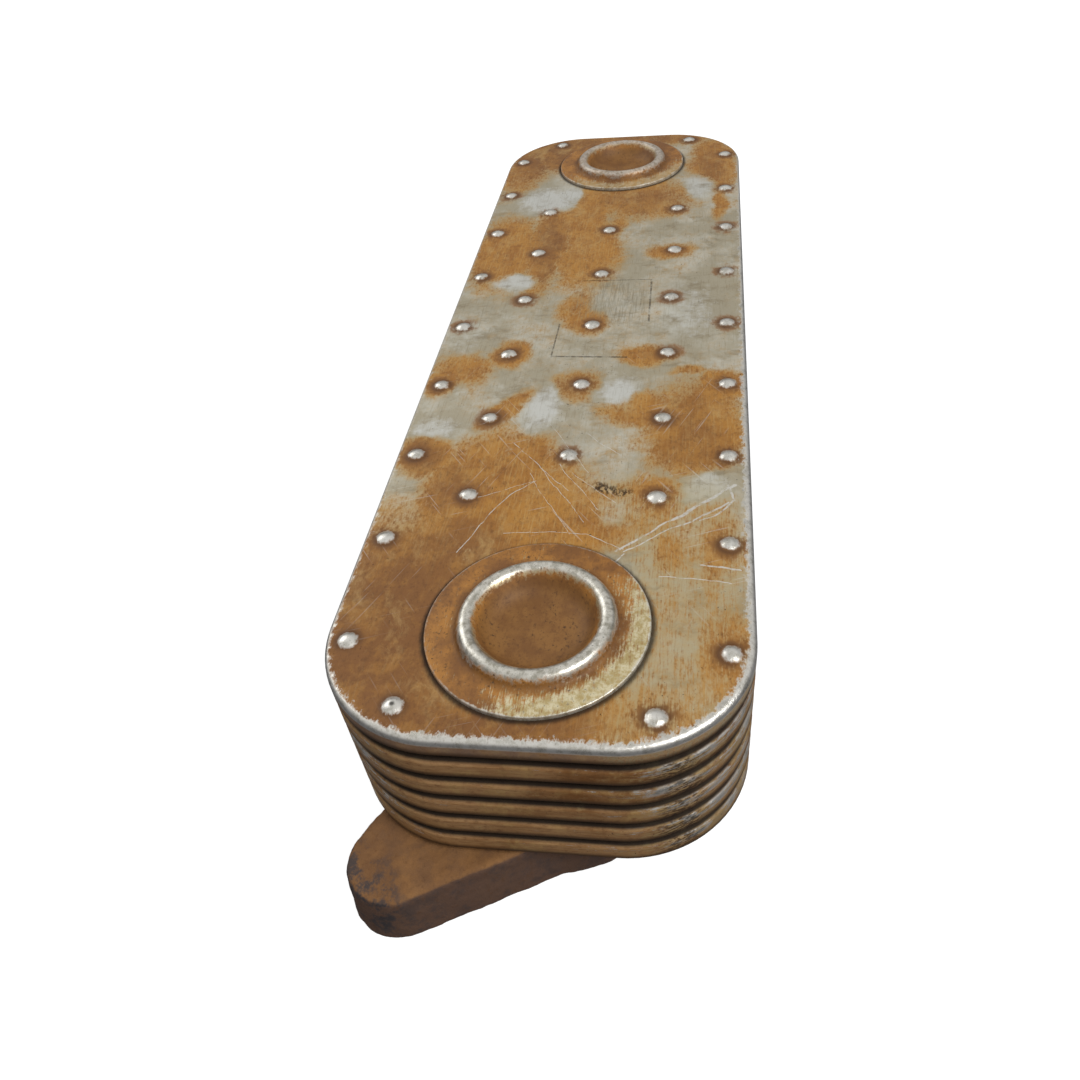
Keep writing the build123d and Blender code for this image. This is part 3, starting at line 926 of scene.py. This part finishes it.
for side, x, worn_way, wear in (
    ("front", port_x, (0.62, 0.78), 1.0),
    ("rear", -port_x, (0.95, 0.3), 0.5),
):
    bpy.ops.object.select_all(action="DESELECT")
    bpy.ops.mesh.primitive_circle_add(
        vertices=cap_sides,
        radius=cap_profile[0][0] * mm,
        fill_type="NGON",
        location=(x, 0, top_of_core + cap_profile[0][1] * mm),
    )
    cap = bpy.context.object
    cap.name = f"{side}_cap"
    bpy.ops.object.mode_set(mode="EDIT")
    bpy.ops.mesh.select_mode(type="FACE")
    bpy.ops.mesh.select_all(action="SELECT")
    for (outer, low), (inner, high) in zip(cap_profile, cap_profile[1:]):
        step_in((outer - inner) * mm * math.cos(math.pi / cap_sides), (high - low) * mm)
    bpy.ops.mesh.poke()
    # The cut edge of the sheet hangs from the outermost ring.
    pick("EDGE", lambda edge: edge.is_boundary)
    drop = {"value": (0, 0, -cap_profile[0][1] * mm)}
    bpy.ops.mesh.extrude_edges_move(TRANSFORM_OT_translate=drop)
    bpy.ops.mesh.select_all(action="SELECT")
    bpy.ops.mesh.normals_make_consistent(inside=False)
    bpy.ops.object.mode_set(mode="OBJECT")
    bpy.ops.object.transform_apply(location=True, rotation=True, scale=True)
    apply_modifier(cap, "SOLIDIFY", thickness=cap_thickness, offset=-1, use_even_offset=True)
    finish_mesh(cap, 50)
    cap.data.materials.append(worn_cap(f"worn_{side}_cap", x, worn_way, wear))
    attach(cap, "root")
    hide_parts(f"{side}_port_cap")

# --- Port flanges ---------------------------------------------------------------------------
# Each port has a two-eared flange under the core, sand cast in iron with draft on its sides,
# then machined underneath: the sealing face, the oil bore, the seal groove and two M10 threads.

flange_thickness = 16.5 * mm
flange_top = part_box("front_port_flange")[1].z
flange_draft = math.radians(6)
hub_radius = 32.5 * mm
waist_radius = 30.5 * mm
ear_radius = 14.6 * mm
ear_distance = 55.5 * mm
flange_turn = math.radians(-45)
flange_bore_radius = 14 * mm
groove_radius = 22.9 * mm
groove_width = 4.4 * mm
groove_depth = 2.4 * mm
thread_radius = 4.25 * mm
thread_pitch = 1.5 * mm
thread_turns = 8
thread_cut = 0.7 * mm  # how far the thread is cut into the hole's wall
thread_chamfer = 0.8 * mm
hole_depth = 13 * mm
bore_chamfer = 1 * mm
ring_radius = 22 * mm
below = 1 * mm  # the blank and the cutters start this far under the machined face


def cast_iron():
    """Sand-cast skin under matt brown rust, with dark worn tips, and turned bare metal below."""
    material, tree, shader, point = new_material("cast_iron")
    shader.inputs["Specular IOR Level"].default_value = 0.3
    x, y, z = separate(tree, point)
    cloud = blotches(tree, point, 17, detail=6, rough=0.6)
    grain = blotches(tree, point, 1.8, detail=6, rough=0.75)
    sand = blotches(tree, point, 0.7, detail=4, rough=0.7)
    wavy = warp(tree, warp(tree, point, 12, 4), 2.5, 1.5)
    rusty = blend(tree, ramp(tree, cloud, 0.36, 0.62), paint(106, 75, 48), paint(130, 93, 56))
    # Painted shade: the steep sides are darker than the tops.
    upright = sums(tree, "ABSOLUTE", separate(tree, add(tree, "NewGeometry").outputs["Normal"])["Z"])
    rusty = blend(tree, ramp(tree, upright, 0.35, 0.85, 0.9, 0), rusty, paint(88, 68, 58))
    rusty = blend(tree, ramp(tree, grain, 0.5, 0.72, 0, 0.5), rusty, dark_film)
    # Dark rubbed metal on the ears' tips and sides, and where drips have dried.
    port, ear = port_x / mm, ear_distance / mm * math.cos(flange_turn)
    tips = patches(
        tree,
        wavy,
        [(side * (port + ear + 8), -side * (ear + 6), 16, 7, 45, 1.0) for side in (-1, 1)]
        + [(side * (port - ear), side * ear, 12, 8, 45, 0.6) for side in (-1, 1)],
    )
    blot = ramp(tree, blotches(tree, point, 7, detail=7, rough=0.72), 0.46, 0.6)
    grey = sums(tree, "MULTIPLY_ADD", tips, 0.8, ramp(tree, upright, 0.35, 0.85, 0.4, 0.12))
    grey = times(tree, blot, grey)
    colour = blend(tree, grey, rusty, paint(72, 66, 66))
    # The machined face, its bore and its holes.
    radius = port_distance(tree, x, y)
    face = ramp(tree, z, 0.02, 0.1, 1, 0)
    bore = ramp(tree, radius, flange_bore_radius / mm + 0.05, flange_bore_radius / mm + 1.05, 1, 0)
    machined = sums(tree, "MAXIMUM", face, bore)
    tarnish = ramp(tree, blotches(tree, point, 13, detail=6, rough=0.7), 0.48, 0.66)
    steel = blend(tree, tarnish, paint(150, 146, 140), paint(128, 92, 62))
    colour = blend(tree, machined, colour, steel)
    tree.links.new(colour, shader.inputs["Base Color"])
    clean = times(tree, machined, sums(tree, "SUBTRACT", 1.0, tarnish))
    shine = sums(tree, "MAXIMUM", clean, times(tree, grey, 0.45))
    tree.links.new(shine, shader.inputs["Metallic"])
    gloss = sums(tree, "MULTIPLY_ADD", grain, 0.2, float_mix(tree, clean, 0.66, 0.24))
    tree.links.new(gloss, shader.inputs["Roughness"])
    turned = sums(tree, "SINE", times(tree, radius, 2 * math.pi / 0.35))
    turned = sums(tree, "MULTIPLY_ADD", turned, 0.05, 0.5)
    skin = sums(tree, "MULTIPLY_ADD", sand, 0.6, times(tree, grain, 0.9))
    height_to_bump(tree, shader, float_mix(tree, machined, skin, turned), 0.22)
    return material


def drafted_post(x, radius):
    """A tapered round post of the blank, wider at the machined face."""
    height = flange_thickness + below
    spread = height * math.tan(flange_draft)
    bpy.ops.mesh.primitive_cone_add(
        vertices=96,
        radius1=radius + below * math.tan(flange_draft),
        radius2=radius + below * math.tan(flange_draft) - spread,
        depth=height,
        location=(x, 0, height / 2 - below),
    )


def turned_cutter(name, x, steps, sides):
    """A closed round cutter that climbs through (radius, height) steps from its lower end."""
    bpy.ops.object.select_all(action="DESELECT")
    bpy.ops.mesh.primitive_circle_add(
        vertices=sides, radius=steps[0][0], fill_type="NGON", location=(0, 0, steps[0][1])
    )
    cutter = bpy.context.object
    cutter.name = name
    bpy.ops.object.mode_set(mode="EDIT")
    bpy.ops.mesh.select_mode(type="FACE")
    bpy.ops.mesh.select_all(action="SELECT")
    for (wide, low), (narrow, high) in zip(steps, steps[1:]):
        bpy.ops.mesh.extrude_region_move(TRANSFORM_OT_translate={"value": (0, 0, high - low)})
        share = narrow / wide
        bpy.ops.transform.resize(value=(share, share, 1), center_override=(0, 0, 0))
    bpy.ops.mesh.select_all(action="SELECT")
    bpy.ops.mesh.normals_make_consistent(inside=False)
    bpy.ops.transform.translate(value=(x, 0, 0))
    bpy.ops.object.mode_set(mode="OBJECT")
    bpy.ops.object.transform_apply(location=True, rotation=True, scale=True)
    return cutter


def cut_away(piece, cutter):
    """Cuts one closed shape out of a piece and throws the cutter away."""
    apply_modifier(piece, "BOOLEAN", operation="DIFFERENCE", solver="MANIFOLD", object=cutter)
    bpy.data.objects.remove(cutter)


# The casting's blank: two ears and a hub, melted into one skin and softened.
bpy.ops.object.select_all(action="DESELECT")
drafted_post(0, waist_radius)
blank = bpy.context.object
blank.name = "flange_form"
bpy.ops.object.transform_apply(location=True, rotation=True, scale=True)
bpy.ops.object.mode_set(mode="EDIT")
for x in (-ear_distance, ear_distance):
    drafted_post(x, ear_radius)
bpy.ops.mesh.select_all(action="SELECT")
bpy.ops.mesh.convex_hull()
drafted_post(0, hub_radius)
neck_height = flange_top - flange_thickness
bpy.ops.mesh.primitive_cylinder_add(
    vertices=96,
    radius=ring_radius,
    depth=4 * neck_height,
    location=(0, 0, flange_top - 2 * neck_height),
)
bpy.ops.object.mode_set(mode="OBJECT")
blank.data.remesh_voxel_size = 0.8 * mm
bpy.ops.object.voxel_remesh()
apply_modifier(blank, "SMOOTH", factor=0.5, iterations=18)

# Unevenness left by the sand, none of it near the machined face or the neck.
normals = [vertex.normal.copy() for vertex in blank.data.vertices]
for vertex, normal in zip(blank.data.vertices, normals):
    place = vertex.co / mm
    lumps = noise.fractal(place / 9, 1.0, 2.0, 3) * 0.3
    lumps += noise.fractal(place / 2.2, 1.0, 2.0, 2) * 0.1
    near_neck = math.hypot(vertex.co.x, vertex.co.y) < ring_radius + 1.5 * mm
    if not near_neck:
        vertex.co += normal * lumps * mm
select_only(blank)
bpy.ops.object.mode_set(mode="EDIT")
bpy.ops.mesh.select_all(action="SELECT")
bpy.ops.mesh.bisect(plane_co=(0, 0, 0), plane_no=(0, 0, 1), clear_inner=True, use_fill=True)
bpy.ops.object.mode_set(mode="OBJECT")

cut_away(
    blank,
    turned_cutter(
        "bore_cutter",
        0,
        [
            (flange_bore_radius + bore_chamfer + below, -below),
            (flange_bore_radius, bore_chamfer),
            (flange_bore_radius, flange_top + below),
        ],
        96,
    ),
)
groove_inner_radius = groove_radius - groove_width
groove = turned_cutter("groove_cutter", 0, [(groove_radius, -below), (groove_radius, groove_depth)], 96)
core = turned_cutter(
    "groove_core",
    0,
    [(groove_inner_radius, -2 * below), (groove_inner_radius, groove_depth + below)],
    96,
)
cut_away(groove, core)
cut_away(blank, groove)
for x in (-ear_distance, ear_distance):
    thread = [(thread_radius + thread_chamfer + below, -below), (thread_radius, thread_chamfer)]
    for turn in range(thread_turns):
        start = thread_chamfer + turn * thread_pitch
        thread.append((thread_radius + thread_cut, start + 0.45 * thread_pitch))
        thread.append((thread_radius + thread_cut, start + 0.6 * thread_pitch))
        thread.append((thread_radius, start + thread_pitch))
    thread.append((thread_radius, hole_depth))
    cut_away(blank, turned_cutter("thread_cutter", x, thread, 40))

cast = cast_iron()
for side, x in (("front", port_x), ("rear", -port_x)):
    flange = blank.copy()
    flange.data = blank.data.copy()
    flange.name = f"{side}_flange"
    bpy.context.scene.collection.objects.link(flange)
    flange.rotation_euler = (0, 0, flange_turn)
    flange.location = (x, 0, 0)
    select_only(flange)
    bpy.ops.object.transform_apply(location=True, rotation=True, scale=True)
    finish_mesh(flange, 38)
    flange.data.materials.clear()
    flange.data.materials.append(cast)
    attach(flange, "root")
    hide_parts(f"{side}_port_flange")
bpy.data.objects.remove(blank)

# --- Rings, fins and seals ------------------------------------------------------------------
# Turned stainless rings carry the oil past each gap and each element. A corrugated stainless
# fin fills each element, and a square rubber ring lies in each flange's groove.


def plain_finish(name, colours, metal, gloss, size, stretch, depth):
    """A material whose colour, gloss and relief all follow one cloudy noise."""
    material, tree, shader, point = new_material(name)
    cloud = blotches(tree, point, size, detail=6, rough=0.65)
    fine = blotches(tree, point, size / 9, detail=4, rough=0.7, stretch=stretch)
    colour = blend(tree, ramp(tree, cloud, 0.38, 0.62), colours[0], colours[1])
    colour = blend(tree, ramp(tree, fine, 0.5, 0.75, 0, 0.4), colour, colours[2])
    tree.links.new(colour, shader.inputs["Base Color"])
    shader.inputs["Metallic"].default_value = metal
    tree.links.new(ramp(tree, fine, 0.3, 0.7, gloss - 0.1, gloss + 0.1), shader.inputs["Roughness"])
    height_to_bump(tree, shader, fine, depth)
    return material


ring_finish = plain_finish(
    "turned_ring", (bare_sheet, brown_film, dark_film), 0.5, 0.45, 9, (1, 1, 6), 0.04
)
fin_finish = plain_finish(
    "fin_sheet", (paint(150, 146, 140), paint(140, 110, 76), soot_and_shade), 0.7, 0.4, 14, (0.2, 1, 1), 0.03
)
rubber = plain_finish(
    "seal_rubber", (paint(30, 29, 28), paint(40, 37, 34), paint(74, 66, 58)), 0.0, 0.7, 6, (1, 1, 1), 0.03
)
for name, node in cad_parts.items():
    if "_ring" in name:
        finish = ring_finish
    elif name.endswith("turbulator"):
        finish = fin_finish
    elif name.endswith("seal"):
        finish = rubber
    else:
        continue
    for place in node.material_slots:
        place.material = finish
